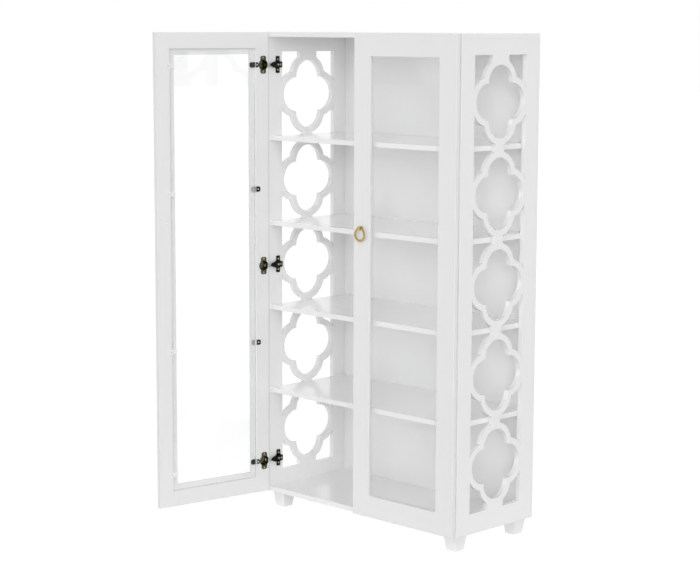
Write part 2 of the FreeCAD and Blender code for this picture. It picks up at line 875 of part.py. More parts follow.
# Offset clip: a foot on the stile, a step into the rebate and a tongue on the pane
def make_clip(name, edge, inset, inward, level):
    """Stands in from a door edge; inward is -1 from the hinge edge and 1 from the free edge."""
    thickness = size("clip_thickness")
    half = size("clip_width") / 2
    z = (level - half, level + half)
    start = edge + inset * inward
    wall = edge + clip_wall * inward
    step = edge + clip_step * inward
    tip = start + size("clip_length") * inward

    def span(a, b):
        return (a, b) if inward > 0 else (b, a)

    foot = block(f"{name}_foot", span(start, step), (door_inner, door_inner + thickness), z)

    def outer_corners(edge):
        return along(edge, Y_AXIS) and near(edge.CenterOfMass.x, start.value)

    foot = rounded(f"{name}_foot_round", foot, size("clip_round"), outer_corners)
    riser = block(f"{name}_riser", span(wall, step), (glass_back, door_inner + thickness), z)
    tongue = block(f"{name}_tongue", span(wall, tip), (glass_back, glass_back + thickness), z)

    def tip_corners(edge):
        return along(edge, Y_AXIS) and near(edge.CenterOfMass.x, tip.value)

    tongue = rounded(f"{name}_tongue_round", tongue, size("clip_round"), tip_corners)
    whole = joined(f"{name}_whole", [foot, riser, tongue])
    screw_x = edge + clip_screw_inset(inset) * inward
    bore_span = (door_inner - overrun, door_inner + thickness + overrun)
    bore = rod(f"{name}_bore", "y", size("clip_screw_radius") + hole_fit, screw_x, bore_span, level)
    return cut(f"{name}_clip", whole, [bore])


def make_hinge_side_clips():
    clips = []
    for i, (inset, level) in enumerate(zip(hinge_clip_insets(), clip_heights)):
        clips.append(make_clip(f"hinge_side_{i}", door_edge, inset, -1, level))
    return group("hinge_side_clip_set", clips)


def make_free_side_clips():
    clips = []
    for i, (inset, level) in enumerate(zip(free_clip_insets(), clip_heights)):
        clips.append(make_clip(f"free_side_{i}", door_free, inset, 1, level))
    return group("free_side_clip_set", clips)


def make_wood_screws(name, spots, seat, length, radius, head_radius, head):
    """Screws driven to the front, with their heads on a plate's face at seat."""
    screws = []
    for i, (x, level) in enumerate(spots):
        shank = rod(f"{name}_shank_{i}", "y", radius, x, (door_inner - length, seat), level)
        cap = rod(f"{name}_cap_{i}", "y", head_radius, x, (seat, seat + head), level)
        screws.append(joined(f"{name}_{i}", [shank, cap]))
    return group(f"{name}_set", screws)


# Hinge cups, let into the door's inner face
def make_cup(i, level):
    name = f"cup_{i}"
    face = (door_inner, door_inner + size("flange_thickness"))
    half_flange = size("flange_width") / 2
    half_height = size("cup_radius") + size("flange_wing")
    x = (cup_x - half_flange, cup_x + half_flange)
    wing = block(f"{name}_wing", x, face, (level - half_height, level + half_height))

    def corners(edge):
        return along(edge, Y_AXIS)

    wing = rounded(f"{name}_wing_round", wing, size("flange_round"), corners)
    rim = rod(f"{name}_rim", "y", cup_rim, cup_x, face, level)
    well_span = (door_inner - size("cup_depth"), door_inner + size("flange_thickness"))
    well = rod(f"{name}_well", "y", size("cup_radius"), cup_x, well_span, level)
    whole = joined(f"{name}_whole", [wing, rim, well])
    hollow_span = (well_span[0] + size("cup_floor"), well_span[1] + overrun)
    tools = [rod(f"{name}_hollow", "y", cup_hollow, cup_x, hollow_span, level)]
    half_pin = pin_half_length() + hole_fit
    pin_span = (level - half_pin, level + half_pin)
    tools.append(rod(f"{name}_pin_hole", "z", size("pin_radius") + hole_fit, pin_x, pin_y, pin_span))
    for j, step in enumerate(offsets(cup_screw_spacing)):
        radius = size("cup_screw_radius") + hole_fit
        bore_span = (door_inner - overrun, well_span[1] + overrun)
        tools.append(rod(f"{name}_bore_{j}", "y", radius, cup_x, bore_span, level + step))
    return cut(f"{name}_cut", whole, tools)


def pin_half_length():
    """A pin ends inside the cup's wall, just short of its outside."""
    return leg(size("cup_radius") - size("pin_end_gap"), pin_offset + size("pin_radius"))


def make_pin(i, level):
    span = (level - pin_half_length(), level + pin_half_length())
    return rod(f"hinge_pin_{i}", "z", size("pin_radius"), pin_x, pin_y, span)


# Hinge arm: an eye on the pin, a crank out of the cup, and a broad tail on the plate
def make_arm(i, level):
    name = f"arm_{i}"
    thickness = size("arm_thickness")
    half_neck = size("arm_neck_height") / 2
    half_tail = size("arm_height") / 2
    neck_z = (level - half_neck, level + half_neck)
    tail_z = (level - half_tail, level + half_tail)
    arm_span = (arm_outer, arm_face)
    neck_end = front + size("arm_neck_end")
    tail_start = neck_end + size("arm_taper")
    tail_end = plate_bar_y[1]
    eye = rod(f"{name}_eye", "z", size("eye_radius"), pin_x, pin_y, neck_z)
    crank_y = (pin_y - thickness / 2, pin_y + thickness / 2)
    crank = block(f"{name}_crank", (arm_outer, pin_x), crank_y, neck_z)
    neck = block(f"{name}_neck", arm_span, (crank_y[0], neck_end), neck_z)
    taper = doc.addObject("Part::Wedge", f"{name}_taper")
    for prefix, half in (("Z", half_neck), ("Z2", half_tail)):
        taper.setExpression(f"{prefix}min", (-half).text)
        taper.setExpression(f"{prefix}max", half.text)
    for prefix in ("X", "X2"):
        taper.setExpression(f"{prefix}min", "0")
        taper.setExpression(f"{prefix}max", thickness.text)
    taper.Ymin = 0
    taper.setExpression("Ymax", size("arm_taper").text)
    place(taper, arm_outer, neck_end, level)
    tail = block(f"{name}_tail", arm_span, (tail_start, tail_end), tail_z)

    def tail_corners(edge):
        return along(edge, X_AXIS) and near(edge.CenterOfMass.y, tail_end.value)

    tail = rounded(f"{name}_tail_round", tail, size("plate_round"), tail_corners)
    whole = joined(f"{name}_whole", [eye, crank, neck, taper, tail])

    def bend(edge):
        spot = edge.CenterOfMass
        return along(edge, Z_AXIS) and near(spot.x, arm_outer.value) and near(spot.y, crank_y[0].value)

    whole = rounded(f"{name}_bend", whole, thickness, bend)
    bore_z = (neck_z[0] - overrun, neck_z[1] + overrun)
    tools = [rod(f"{name}_bore", "z", size("pin_radius") + size("pin_fit"), pin_x, pin_y, bore_z)]
    for j, spot in enumerate(arm_screw_rows):
        radius = size("arm_screw_radius") + hole_fit
        span = (arm_outer - overrun, arm_face + overrun)
        tools.append(rod(f"{name}_screw_bore_{j}", "x", radius, span, spot, level))
    return cut(f"{name}_cut", whole, tools)


# Mounting plate on the side panel's inner face
def make_plate(i, level):
    name = f"plate_{i}"
    base_x = (plate_face, side_inner)
    half_wing = size("plate_wing_width") / 2
    half_height = size("plate_wing_height") / 2
    half_bar = size("plate_bar_height") / 2
    half_block = size("plate_block_height") / 2
    wing_y = (plate_y - half_wing, plate_y + half_wing)
    wing = block(f"{name}_wing", base_x, wing_y, (level - half_height, level + half_height))

    def corners(edge):
        return along(edge, X_AXIS)

    wing = rounded(f"{name}_wing_round", wing, size("plate_round"), corners)
    bar = block(f"{name}_bar", base_x, plate_bar_y, (level - half_bar, level + half_bar))
    bar = rounded(f"{name}_bar_round", bar, size("plate_round"), corners)
    spine_z = (level - half_block, level + half_block)
    spine = block(f"{name}_spine", (arm_face, plate_face), plate_bar_y, spine_z)
    whole = joined(f"{name}_whole", [wing, bar, spine])
    tools = []
    for j, step in enumerate(offsets(size("plate_screw_spacing"))):
        radius = size("plate_screw_radius") + hole_fit
        span = (plate_face - overrun, side_inner + overrun)
        tools.append(rod(f"{name}_bore_{j}", "x", radius, span, plate_y, level + step))
    for j, spot in enumerate(arm_screw_rows):
        radius = size("arm_screw_radius") + hole_fit
        span = (arm_face - overrun, plate_face + hole_fit)
        tools.append(rod(f"{name}_arm_bore_{j}", "x", radius, span, spot, level))
    return cut(f"{name}_cut", whole, tools)


def make_plate_screws():
    screws = []
    for i, (y, level) in enumerate(plate_screw_places()):
        shank_x = (plate_face, side_inner + size("plate_screw_length"))
        shank = rod(f"plate_shank_{i}", "x", size("plate_screw_radius"), shank_x, y, level)
        head_x = (plate_face - size("plate_screw_head"), plate_face)
        head = rod(f"plate_head_{i}", "x", size("plate_screw_head_radius"), head_x, y, level)
        screws.append(joined(f"plate_screw_{i}", [shank, head]))
    return group("plate_screw_set", screws)


def make_arm_screws():
    screws = []
    for i, level in enumerate(hinge_heights):
        for j, spot in enumerate(arm_screw_rows):
            shank_x = (arm_outer, plate_face)
            shank = rod(f"arm_shank_{i}_{j}", "x", size("arm_screw_radius"), shank_x, spot, level)
            head_x = (arm_outer - size("arm_screw_head"), arm_outer)
            head = rod(f"arm_head_{i}_{j}", "x", size("arm_screw_head_radius"), head_x, spot, level)
            screws.append(joined(f"arm_screw_{i}_{j}", [shank, head]))
    return group("arm_screw_set", screws)


# Ring pull on the free stile
ring_y = door_front - size("ring_standoff")
# the ring's wire bows a little within the width of the post
ring_bow = size("ring_radius") - leg(size("ring_radius"), size("post_radius"))
post_eye_radius = size("ring_wire_radius") + ring_bow + size("ring_play")
post_end = ring_y - post_eye_radius - size("post_tip")
pull_screw_end = ring_y + post_eye_radius + size("post_floor")


def make_post():
    post = rod("post_stem", "y", size("post_radius"), pull_x, (post_end, door_front), pull_z)

    def end_rim(edge):
        return near(edge.BoundBox.YMax, post_end.value)

    post = rounded("post_round", post, size("post_round"), end_rim)
    reach = size("post_radius") + overrun
    eye = rod("post_eye", "x", post_eye_radius, (pull_x - reach, pull_x + reach), ring_y, pull_z)
    thread_span = (pull_screw_end - hole_fit, door_front + overrun)
    thread = rod("post_thread", "y", size("pull_screw_radius") + hole_fit, pull_x, thread_span, pull_z)
    return cut("post_cut", post, [eye, thread])


def make_ring():
    ring = doc.addObject("Part::Torus", "ring_wire")
    ring.setExpression("Radius1", size("ring_radius").text)
    ring.setExpression("Radius2", size("ring_wire_radius").text)
    ring.Placement.Rotation = Rotation(X_AXIS, 90)
    place(ring, pull_x, ring_y, pull_z - size("ring_radius"))
    return ring


def make_pull_screw():
    shank_y = (pull_screw_end, door_inner)
    shank = rod("pull_shank", "y", size("pull_screw_radius"), pull_x, shank_y, pull_z)
    head_y = (door_inner, door_inner + size("pull_screw_head"))
    head = rod("pull_head", "y", size("pull_screw_head_radius"), pull_x, head_y, pull_z)
    return joined("pull_screw_whole", [shank, head])


hinge_levels = list(enumerate(hinge_heights))
door_pieces = {
    "door_frame": make_door_frame(),
    "door_glass": make_glass(),
    "hinge_side_clips": make_hinge_side_clips(),
    "free_side_clips": make_free_side_clips(),
    "clip_screws": make_wood_screws(
        "clip_screw", clip_screw_places(), door_inner + size("clip_thickness"), size("clip_screw_length"),
        size("clip_screw_radius"), size("clip_screw_head_radius"), size("clip_screw_head")
    ),
    "hinge_cups": group("cup_set", [make_cup(i, level) for i, level in hinge_levels]),
    "hinge_pins": group("pin_set", [make_pin(i, level) for i, level in hinge_levels]),
    "cup_screws": make_wood_screws(
        "cup_screw", cup_screw_places(), door_inner + size("flange_thickness"), size("cup_screw_length"),
        size("cup_screw_radius"), size("cup_screw_head_radius"), size("cup_screw_head")
    ),
    "pull_post": make_post(),
    "pull_ring": make_ring(),
    "pull_screw": make_pull_screw(),
}
case_pieces = {
    "hinge_arms": group("arm_set", [make_arm(i, level) for i, level in hinge_levels]),
    "hinge_plates": group("plate_set", [make_plate(i, level) for i, level in hinge_levels]),
    "plate_screws": make_plate_screws(),
    "arm_screws": make_arm_screws(),
}

# The left door is the right door's mirror image, swung open about its hinge pins
hinge_axis = Vector(-pin_x.value, pin_y.value, 0)
swing = Placement(Vector(0, 0, 0), Rotation(Z_AXIS, -DOOR_OPEN_ANGLE), hinge_axis)
for name, piece in door_pieces.items():
    node(f"right_{name}", piece)
    mirrored(f"left_{name}", piece, swing)
for name, piece in case_pieces.items():
    node(f"right_{name}", piece)
    mirrored(f"left_{name}", piece)

doc.recompute()
for item in doc.Objects:
    if "Invalid" in item.State or "Error" in item.State:
        raise RuntimeError(f"{item.Label}: {item.State}")
for piece in nodes:
    if piece.Shape.isNull() or not piece.Shape.isValid():
        raise RuntimeError(f"{piece.Label} has no valid shape")

os.makedirs("parts", exist_ok=True)
for piece in nodes:
    piece.Shape.exportStep(f"parts/{piece.Label}.step")
    print(piece.Label, len(piece.Shape.Solids), round(piece.Shape.Volume, 1))
print(f"{len(nodes)} sub-parts; hinge axis at {hinge_axis.x:.2f}, {hinge_axis.y:.2f}")
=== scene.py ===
# %% [markdown]
# # A white bookcase with glass doors and pierced sides
# The boards, doors, hinges and pulls come from the imported model, each with its
# real size and place. This lesson gives every one of them its finish, makes the
# small things that deserve more detail than a solid has, and sets up the studio.

# %% Load the imported model
import json
import math

import bmesh
import bpy
from mathutils import Matrix, Vector


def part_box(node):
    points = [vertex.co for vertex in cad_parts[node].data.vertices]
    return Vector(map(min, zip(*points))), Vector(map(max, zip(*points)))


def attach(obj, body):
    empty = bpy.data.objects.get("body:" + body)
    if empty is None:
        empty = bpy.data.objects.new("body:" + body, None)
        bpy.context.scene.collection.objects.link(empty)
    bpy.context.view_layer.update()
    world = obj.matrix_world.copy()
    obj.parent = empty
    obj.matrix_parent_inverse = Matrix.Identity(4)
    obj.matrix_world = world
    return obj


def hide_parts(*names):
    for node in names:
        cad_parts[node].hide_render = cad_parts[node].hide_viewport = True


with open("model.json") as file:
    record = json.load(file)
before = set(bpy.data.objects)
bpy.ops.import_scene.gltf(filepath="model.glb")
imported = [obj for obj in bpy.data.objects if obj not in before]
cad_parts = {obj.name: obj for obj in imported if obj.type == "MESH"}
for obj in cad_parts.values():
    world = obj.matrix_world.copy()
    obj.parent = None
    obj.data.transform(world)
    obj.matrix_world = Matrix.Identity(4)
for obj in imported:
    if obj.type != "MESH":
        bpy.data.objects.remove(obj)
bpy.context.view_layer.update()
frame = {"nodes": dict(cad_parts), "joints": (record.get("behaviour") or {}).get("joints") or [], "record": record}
nodes = frame["nodes"]
bodies = frame["record"]["behaviour"]["bodies"]
body_of_node = {node: body for body, members in bodies.items() for node in members}
joint = {j["name"]: j for j in frame["joints"]}
left_hinge = Vector(joint["left_door_hinge"]["pos_m"])
right_hinge = Vector(joint["right_door_hinge"]["pos_m"])
open_angle = -math.radians(joint["left_door_hinge"]["range_deg"][1])


def short(point, digits=3):
    """A point with few enough digits to print."""
    return tuple(round(v, digits) for v in point)


# %% [markdown]
# ## The camera
# The photograph was taken from the front right with a long lens, from just above
# the height of the case's top, looking down a little. The place and turn here were
# solved from the straight edges of the boards, so the render can be laid over the
# photograph. A camera looks down its own negative Z axis, so it is first tipped up
# from the floor, then turned about the vertical, with a trace of roll.

# %% Camera
scene = bpy.context.scene
camera_place = (3.860163, -4.098227, 1.512473)
degrees_to_right = 44.733
degrees_down = 8.099
degrees_of_roll = 0.201
camera_data = bpy.data.cameras.new("studio_camera")
camera_data.sensor_fit = "HORIZONTAL"
camera_data.sensor_width = 36.0
camera_data.lens = 96.686
camera = bpy.data.objects.new("studio_camera", camera_data)
scene.collection.objects.link(camera)
turn = Matrix.Rotation(math.radians(degrees_to_right), 4, "Z")
tip = Matrix.Rotation(math.radians(90 - degrees_down), 4, "X")
roll = Matrix.Rotation(math.radians(degrees_of_roll), 4, "Z")
camera.matrix_world = Matrix.Translation(camera_place) @ turn @ tip @ roll
scene.camera = camera
print("camera at", short(camera.location))

# %% [markdown]
# ## The room
# A white piece on a white ground stands in a bright room, and the world is that
# room. Every ray that the lens, a mirror or a pane sends out finds plain white,
# while the light that the room throws on the boards is much weaker. The Light Path
# node tells the two kinds of ray apart. Between white boards light bounces many
# times before it fades, so it is followed for more diffuse bounces than the four
# that Blender starts with, or the shelves would look too dark inside. The room is
# the same all over, so there is nothing in it to aim at, and its sampling is off.

# %% World
white = (1.0, 1.0, 1.0, 1.0)
room_strength = 0.2
seen_strength = 1.0


def math_node(tree, operation, *values):
    """A Math node whose inputs are numbers or sockets."""
    made = tree.nodes.new("ShaderNodeMath")
    made.operation = operation
    for socket, value in zip(made.inputs, values):
        if isinstance(value, (int, float)):
            socket.default_value = value
        else:
            tree.links.new(value, socket)
    return made.outputs[0]


def seen_rays(tree):
    """One for rays from the lens, a mirror or a pane, and nought for all other light."""
    rays = tree.nodes.new("ShaderNodeLightPath").outputs
    lens_or_mirror = math_node(tree, "MAXIMUM", rays["Is Camera Ray"], rays["Is Glossy Ray"])
    return math_node(tree, "MAXIMUM", lens_or_mirror, rays["Is Transmission Ray"])


def even_white(tree, strength):
    made = tree.nodes.new("ShaderNodeBackground")
    made.inputs["Color"].default_value = white
    made.inputs["Strength"].default_value = strength
    return made.outputs["Background"]


scene.view_settings.view_transform = "Standard"
scene.cycles.diffuse_bounces = 12
world = bpy.data.worlds.new("bright_room")
scene.world = world
world.cycles.sampling_method = "NONE"
world.use_nodes = True
net = world.node_tree
net.nodes.clear()
chosen = net.nodes.new("ShaderNodeMixShader")
net.links.new(seen_rays(net), chosen.inputs["Fac"])
net.links.new(even_white(net, room_strength), chosen.inputs[1])
net.links.new(even_white(net, seen_strength), chosen.inputs[2])
world_out = net.nodes.new("ShaderNodeOutputWorld")
net.links.new(chosen.outputs[0], world_out.inputs["Surface"])
print(world.name, "throws light of", room_strength, "and looks like", seen_strength)

# %% [markdown]
# ## The lamps
# Large soft lamps do the rest. Suns with a wide angle are used, because their light
# is as strong at the feet as at the top. Two stand near the camera, one low and one
# high. Two more in front, straight ahead and to the left, reach deep between the
# shelves, a wide one washes the pierced side, and one behind the case lights its
# back for views from there. All are hidden from reflections, where the glossy paint
# is to show only the room.

# %% Lamps
def make_sun(name, strength, spread, side, height):
    """A soft sun: side is degrees round from the front towards the right, height above the floor."""
    data = bpy.data.lights.new(name, "SUN")
    data.energy = strength
    data.angle = math.radians(spread)
    lamp = bpy.data.objects.new(name, data)
    around = Matrix.Rotation(math.radians(side), 4, "Z")
    lamp.matrix_world = around @ Matrix.Rotation(math.radians(90 - height), 4, "X")
    lamp.visible_glossy = False
    scene.collection.objects.link(lamp)
    return lamp


lamps = [
    make_sun("low_key", strength=0.8, spread=26, side=43, height=6),
    make_sun("high_key", strength=0.95, spread=50, side=40, height=38),
    make_sun("front_fill", strength=0.2, spread=26, side=0, height=6),
    make_sun("left_fill", strength=0.4, spread=40, side=-25, height=8),
    make_sun("side_wash", strength=0.57, spread=60, side=100, height=15),
    make_sun("back_wash", strength=0.95, spread=40, side=206, height=16),
]
print("lamps", [(lamp.name, round(lamp.data.energy, 2)) for lamp in lamps])

# %% [markdown]
# ## The floor
# The floor is one wide sheet, as pale as paper, so it meets the white of the room
# without a line. It is a matt surface, because a matt floor keeps the soft shadow
# under the feet, and a steady glow that only the lens, mirrors and panes can see
# lifts it to white without throwing more light on the boards. To those rays the
# paper itself is darker, so that light and glow together just come to white.

# %% Floor sheet
floor_half_width = 30.0


def to_object(name, shape):
    """Turn a bmesh into an object of the scene, and let the bmesh go."""
    mesh = bpy.data.meshes.new(name)
    shape.to_mesh(mesh)
    shape.free()
    made = bpy.data.objects.new(name, mesh)
    scene.collection.objects.link(made)
    return made


sheet = bmesh.new()
bmesh.ops.create_grid(sheet, x_segments=1, y_segments=1, size=floor_half_width)
floor = to_object("studio_floor", sheet)
print("floor", short(floor.dimensions))

# %% Floor paper
paper_tone = (0.9, 0.9, 0.9, 1.0)
paper_tone_seen = (0.5, 0.5, 0.5, 1.0)
paper_glow = 0.755


def new_material(name):
    """An empty node material with a Principled shader at its end."""
    material = bpy.data.materials.new(name)
    material.use_nodes = True
    tree = material.node_tree
    tree.nodes.clear()
    shader = tree.nodes.new("ShaderNodeBsdfPrincipled")
    output = tree.nodes.new("ShaderNodeOutputMaterial")
    tree.links.new(shader.outputs["BSDF"], output.inputs["Surface"])
    return material, tree, shader


def mix_colours(tree, factor, first, second):
    """A Mix node from one colour to another, each of them a value or a socket."""
    made = tree.nodes.new("ShaderNodeMix")
    made.data_type = "RGBA"
    tree.links.new(factor, made.inputs["Factor"])
    for name, colour in (("A", first), ("B", second)):
        if isinstance(colour, tuple):
            made.inputs[name].default_value = colour
        else:
            tree.links.new(colour, made.inputs[name])
    return made.outputs["Result"]


floor_paper, tree, shader = new_material("floor_paper")
shader.inputs["Roughness"].default_value = 0.9
shader.inputs["Specular IOR Level"].default_value = 0.1
seen = seen_rays(tree)
tree.links.new(mix_colours(tree, seen, paper_tone, paper_tone_seen), shader.inputs["Base Color"])
shader.inputs["Emission Color"].default_value = white
tree.links.new(math_node(tree, "MULTIPLY", seen, paper_glow), shader.inputs["Emission Strength"])
floor.data.materials.append(floor_paper)
print("floor finish:", floor_paper.name)

# %% [markdown]
# ## Dark cloths
# Polished metal shows what is round it, and in an all white room it has no shape.
# Photographers hang dark cloths beside and behind the camera, so that the side of a
# ring or a hinge that faces them mirrors something dark between its bright edges.
# Only reflections can see these two: they take no light from the boards.

# %% Black felt
felt_tone = 0.06


def noise_node(tree, vector, scale, detail):
    """A Noise Texture whose scale is a number or a socket."""
    made = tree.nodes.new("ShaderNodeTexNoise")
    made.inputs["Detail"].default_value = detail
    tree.links.new(vector, made.inputs["Vector"])
    if isinstance(scale, (int, float)):
        made.inputs["Scale"].default_value = scale
    else:
        tree.links.new(scale, made.inputs["Scale"])
    return made.outputs["Fac"]


black_felt, tree, shader = new_material("black_felt")
place = tree.nodes.new("ShaderNodeTexCoord")
fibres = noise_node(tree, place.outputs["Object"], scale=40.0, detail=2.0)
tree.links.new(math_node(tree, "MULTIPLY", fibres, felt_tone), shader.inputs["Base Color"])
shader.inputs["Roughness"].default_value = 1.0
print("cloth finish:", black_felt.name)

# %% Hang the cloths
def hang_cloth(name, middle, side, width, height):
    """A sheet round a middle point, turned to face the case from that side, seen only in reflections."""
    sheet = bmesh.new()
    bmesh.ops.create_grid(sheet, x_segments=1, y_segments=1, size=0.5)
    around = Matrix.Rotation(math.radians(side), 4, "Z")
    upright = Matrix.Rotation(math.radians(90), 4, "X")
    size = Matrix.Diagonal((width, height, 1.0, 1.0))
    hung = Matrix.Translation(middle) @ around @ upright @ size
    bmesh.ops.transform(sheet, matrix=hung, verts=sheet.verts)
    cloth = to_object(name, sheet)
    cloth.visible_camera = False
    cloth.visible_diffuse = False
    cloth.visible_transmission = False
    cloth.visible_shadow = False
    cloth.data.materials.append(black_felt)
    return cloth


cloths = [
    hang_cloth("studio_cloth_right", middle=(5.3, -5.6, 1.1), side=44.7, width=12.0, height=2.1),
    hang_cloth("studio_cloth_left", middle=(-4.6, -5.4, 2.2), side=-40.0, width=9.0, height=1.2),
]
print("cloths", [(cloth.name, short(cloth.dimensions, 1)) for cloth in cloths])

# %% [markdown]
# ## Paint that was sprayed on
# The boards carry a glossy white paint: low along a shelf, it mirrors the bright
# openings behind. Sprayed paint is never quite even. Its tone drifts a little across
# a board, its gloss comes and goes, and under a raking light the film has a fine
# skin like an orange's. One node group makes all three from the place on the board,
# and each painted finish uses it with its own values.

# %% Node group: paint skin, its sockets
def add_socket(group, name, direction, kind, value=None):
    socket = group.interface.new_socket(name=name, in_out=direction, socket_type=kind)
    if value is not None:
        socket.default_value = value


def new_group(name, inputs):
    """A node group that turns a place and some values into a colour, a roughness and a height."""
    group = bpy.data.node_groups.new(name, "ShaderNodeTree")
    add_socket(group, "Vector", "INPUT", "NodeSocketVector")
    for socket_name, value in inputs.items():
        kind = "NodeSocketColor" if isinstance(value, tuple) else "NodeSocketFloat"
        add_socket(group, socket_name, "INPUT", kind, value)
    add_socket(group, "Color", "OUTPUT", "NodeSocketColor")
    add_socket(group, "Roughness", "OUTPUT", "NodeSocketFloat")
    add_socket(group, "Height", "OUTPUT", "NodeSocketFloat")
    given = group.nodes.new("NodeGroupInput").outputs
    result = group.nodes.new("NodeGroupOutput").inputs
    return group, given, result


paint_skin, given, result = new_group(
    "paint_skin", {"Tone": (0.8, 0.8, 0.8, 1.0), "Drift": 0.03, "Gloss": 0.4, "Stipple": 650.0}
)
print("group", paint_skin.name, [s.name for s in paint_skin.interface.items_tree])

# %% Node group: paint skin, its nodes
fine_drift_share = 0.4
paint_gloss_swing = 0.1


def swing_of(tree, noise, size):
    """A noise from 0 to 1, made to swing about nought, times a size."""
    return math_node(tree, "MULTIPLY", math_node(tree, "SUBTRACT", noise, 0.5), size)


def scale_colour(tree, colour, factor):
    made = tree.nodes.new("ShaderNodeVectorMath")
    made.operation = "SCALE"
    tree.links.new(colour, made.inputs[0])
    tree.links.new(factor, made.inputs["Scale"])
    return made.outputs["Vector"]


cloud = noise_node(paint_skin, given["Vector"], scale=3.1, detail=3.0)
mottle = noise_node(paint_skin, given["Vector"], scale=46.0, detail=4.0)
skin = noise_node(paint_skin, given["Vector"], scale=given["Stipple"], detail=2.0)
wide_drift = swing_of(paint_skin, cloud, given["Drift"])
near_drift = swing_of(paint_skin, mottle, given["Drift"])
fine_drift = math_node(paint_skin, "MULTIPLY", near_drift, fine_drift_share)
drift = math_node(paint_skin, "ADD", wide_drift, fine_drift)
shade = math_node(paint_skin, "ADD", drift, 1.0)
paint_skin.links.new(scale_colour(paint_skin, given["Tone"], shade), result["Color"])
uneven = swing_of(paint_skin, mottle, paint_gloss_swing)
paint_skin.links.new(math_node(paint_skin, "ADD", given["Gloss"], uneven), result["Roughness"])
paint_skin.links.new(skin, result["Height"])
print("group", paint_skin.name, "has", len(paint_skin.nodes), "nodes")

# %% [markdown]
# ## Painted finishes
# The case, the doors and the feet were painted as separate lots, so each has its
# own tone and gloss, and the case has a clear lacquer over the paint. Cut board
# edges are broken with a touch of sandpaper before they are painted. The Bevel node
# rounds the light over every edge by about that much, without changing the shape,
# and the paint's skin goes on top of it. The caps of the pulls' screws are white
# nylon, not paint: smooth, with a clear shine. The small clips on the free stiles
# get the same finish, a little whiter than the doors: they are the lit copy of the
# clips on the hinge stiles, and their white is painted light.

# %% Paint on the case
lacquer_roughness = 0.16
paint_relief = 0.35


def add_skin(tree, group, vector, **values):
    """Place a skin group, with the place on the piece as its vector and its other inputs by name."""
    skin = tree.nodes.new("ShaderNodeGroup")
    skin.node_tree = group
    tree.links.new(vector, skin.inputs["Vector"])
    for name, value in values.items():
        skin.inputs[name].default_value = value
    return skin.outputs


def add_film(tree, shader, height, strength, depth):
    """Give a shader the fine relief of a film, and hand back the Bump node."""
    film = tree.nodes.new("ShaderNodeBump")
    film.inputs["Strength"].default_value = strength
    film.inputs["Distance"].default_value = depth
    tree.links.new(height, film.inputs["Height"])
    tree.links.new(film.outputs["Normal"], shader.inputs["Normal"])
    return film


def ease_edges(tree, film, radius, samples):
    """Round the light over sharp edges, under a film."""
    edge = tree.nodes.new("ShaderNodeBevel")
    edge.samples = samples
    edge.inputs["Radius"].default_value = radius
    tree.links.new(edge.outputs["Normal"], film.inputs["Normal"])


def painted(name, tone, drift, gloss, stipple, eased, depth, lacquer=0.0):
    material, tree, shader = new_material(name)
    place = tree.nodes.new("ShaderNodeTexCoord").outputs["Object"]
    skin = add_skin(tree, paint_skin, place, Tone=(*tone, 1.0), Drift=drift, Gloss=gloss, Stipple=stipple)
    tree.links.new(skin["Color"], shader.inputs["Base Color"])
    tree.links.new(skin["Roughness"], shader.inputs["Roughness"])
    shader.inputs["Coat Weight"].default_value = lacquer
    shader.inputs["Coat Roughness"].default_value = lacquer_roughness
    film = add_film(tree, shader, skin["Height"], paint_relief, depth)
    ease_edges(tree, film, eased, samples=6)
    return material


case_paint = painted(
    "case_paint", (0.945, 0.945, 0.946), drift=0.03, gloss=0.24, stipple=620.0,
    eased=0.0012, depth=0.00002, lacquer=1.0,
)
print(case_paint.name, "has", len(case_paint.node_tree.nodes), "nodes")

# %% Paint on the doors and feet, and nylon
door_paint = painted(
    "door_paint", (0.9, 0.9, 0.901), drift=0.025, gloss=0.2, stipple=700.0, eased=0.0014, depth=0.00002
)
foot_paint = painted(
    "foot_paint", (0.945, 0.945, 0.946), drift=0.04, gloss=0.3, stipple=540.0, eased=0.0016, depth=0.00004
)
# White nylon for the screw caps; on the free-stile clips this brighter white is painted light.
white_nylon_and_lit_clips = painted(
    "white_nylon_and_lit_clips", (0.95, 0.95, 0.95), drift=0.02, gloss=0.12, stipple=900.0,
    eased=0.0004, depth=0.00001, lacquer=1.0,
)
print("painted finishes:", door_paint.name, foot_paint.name, "and", white_nylon_and_lit_clips.name)

# %% [markdown]
# ## Metals
# Two kinds of metal show: rolled and plated steel in the hinges, clips and screws,
# and polished brass in the pulls. Rolled metal has fine lines in it, and plating is
# thinner in some places than in others. One group makes both from stretched noise,
# and the finishes differ in colour, gloss and how fine the patina is. Clean metal
# turns white where it is seen edge on. Under a thin film of tarnish it stays darker
# and warmer there, and the shader's Specular Tint gives that.

# %% Node group: metal skin
line_swing = 0.14
patina_swing = 0.2
least_roughness = 0.05
metal_skin, given, result = new_group(
    "metal_skin",
    {"Bright": (0.5, 0.5, 0.5, 1.0), "Dull": (0.3, 0.3, 0.3, 1.0), "Gloss": 0.3, "Patina": 160.0},
)
stretch = metal_skin.nodes.new("ShaderNodeMapping")
stretch.inputs["Scale"].default_value = (900.0, 900.0, 60.0)
metal_skin.links.new(given["Vector"], stretch.inputs["Vector"])
lines = noise_node(metal_skin, stretch.outputs["Vector"], scale=1.0, detail=3.0)
blotch = noise_node(metal_skin, given["Vector"], scale=given["Patina"], detail=4.0)
metal_skin.links.new(mix_colours(metal_skin, blotch, given["Bright"], given["Dull"]), result["Color"])
rolled = swing_of(metal_skin, lines, line_swing)
worn = swing_of(metal_skin, blotch, patina_swing)
gloss = math_node(metal_skin, "ADD", given["Gloss"], math_node(metal_skin, "ADD", rolled, worn))
metal_skin.links.new(math_node(metal_skin, "MAXIMUM", gloss, least_roughness), result["Roughness"])
metal_skin.links.new(lines, result["Height"])
print("group", metal_skin.name, [s.name for s in metal_skin.interface.items_tree])

# %% Metal finishes
grazing_tint = (0.4, 0.34, 0.24, 1.0)
metal_relief = 0.3


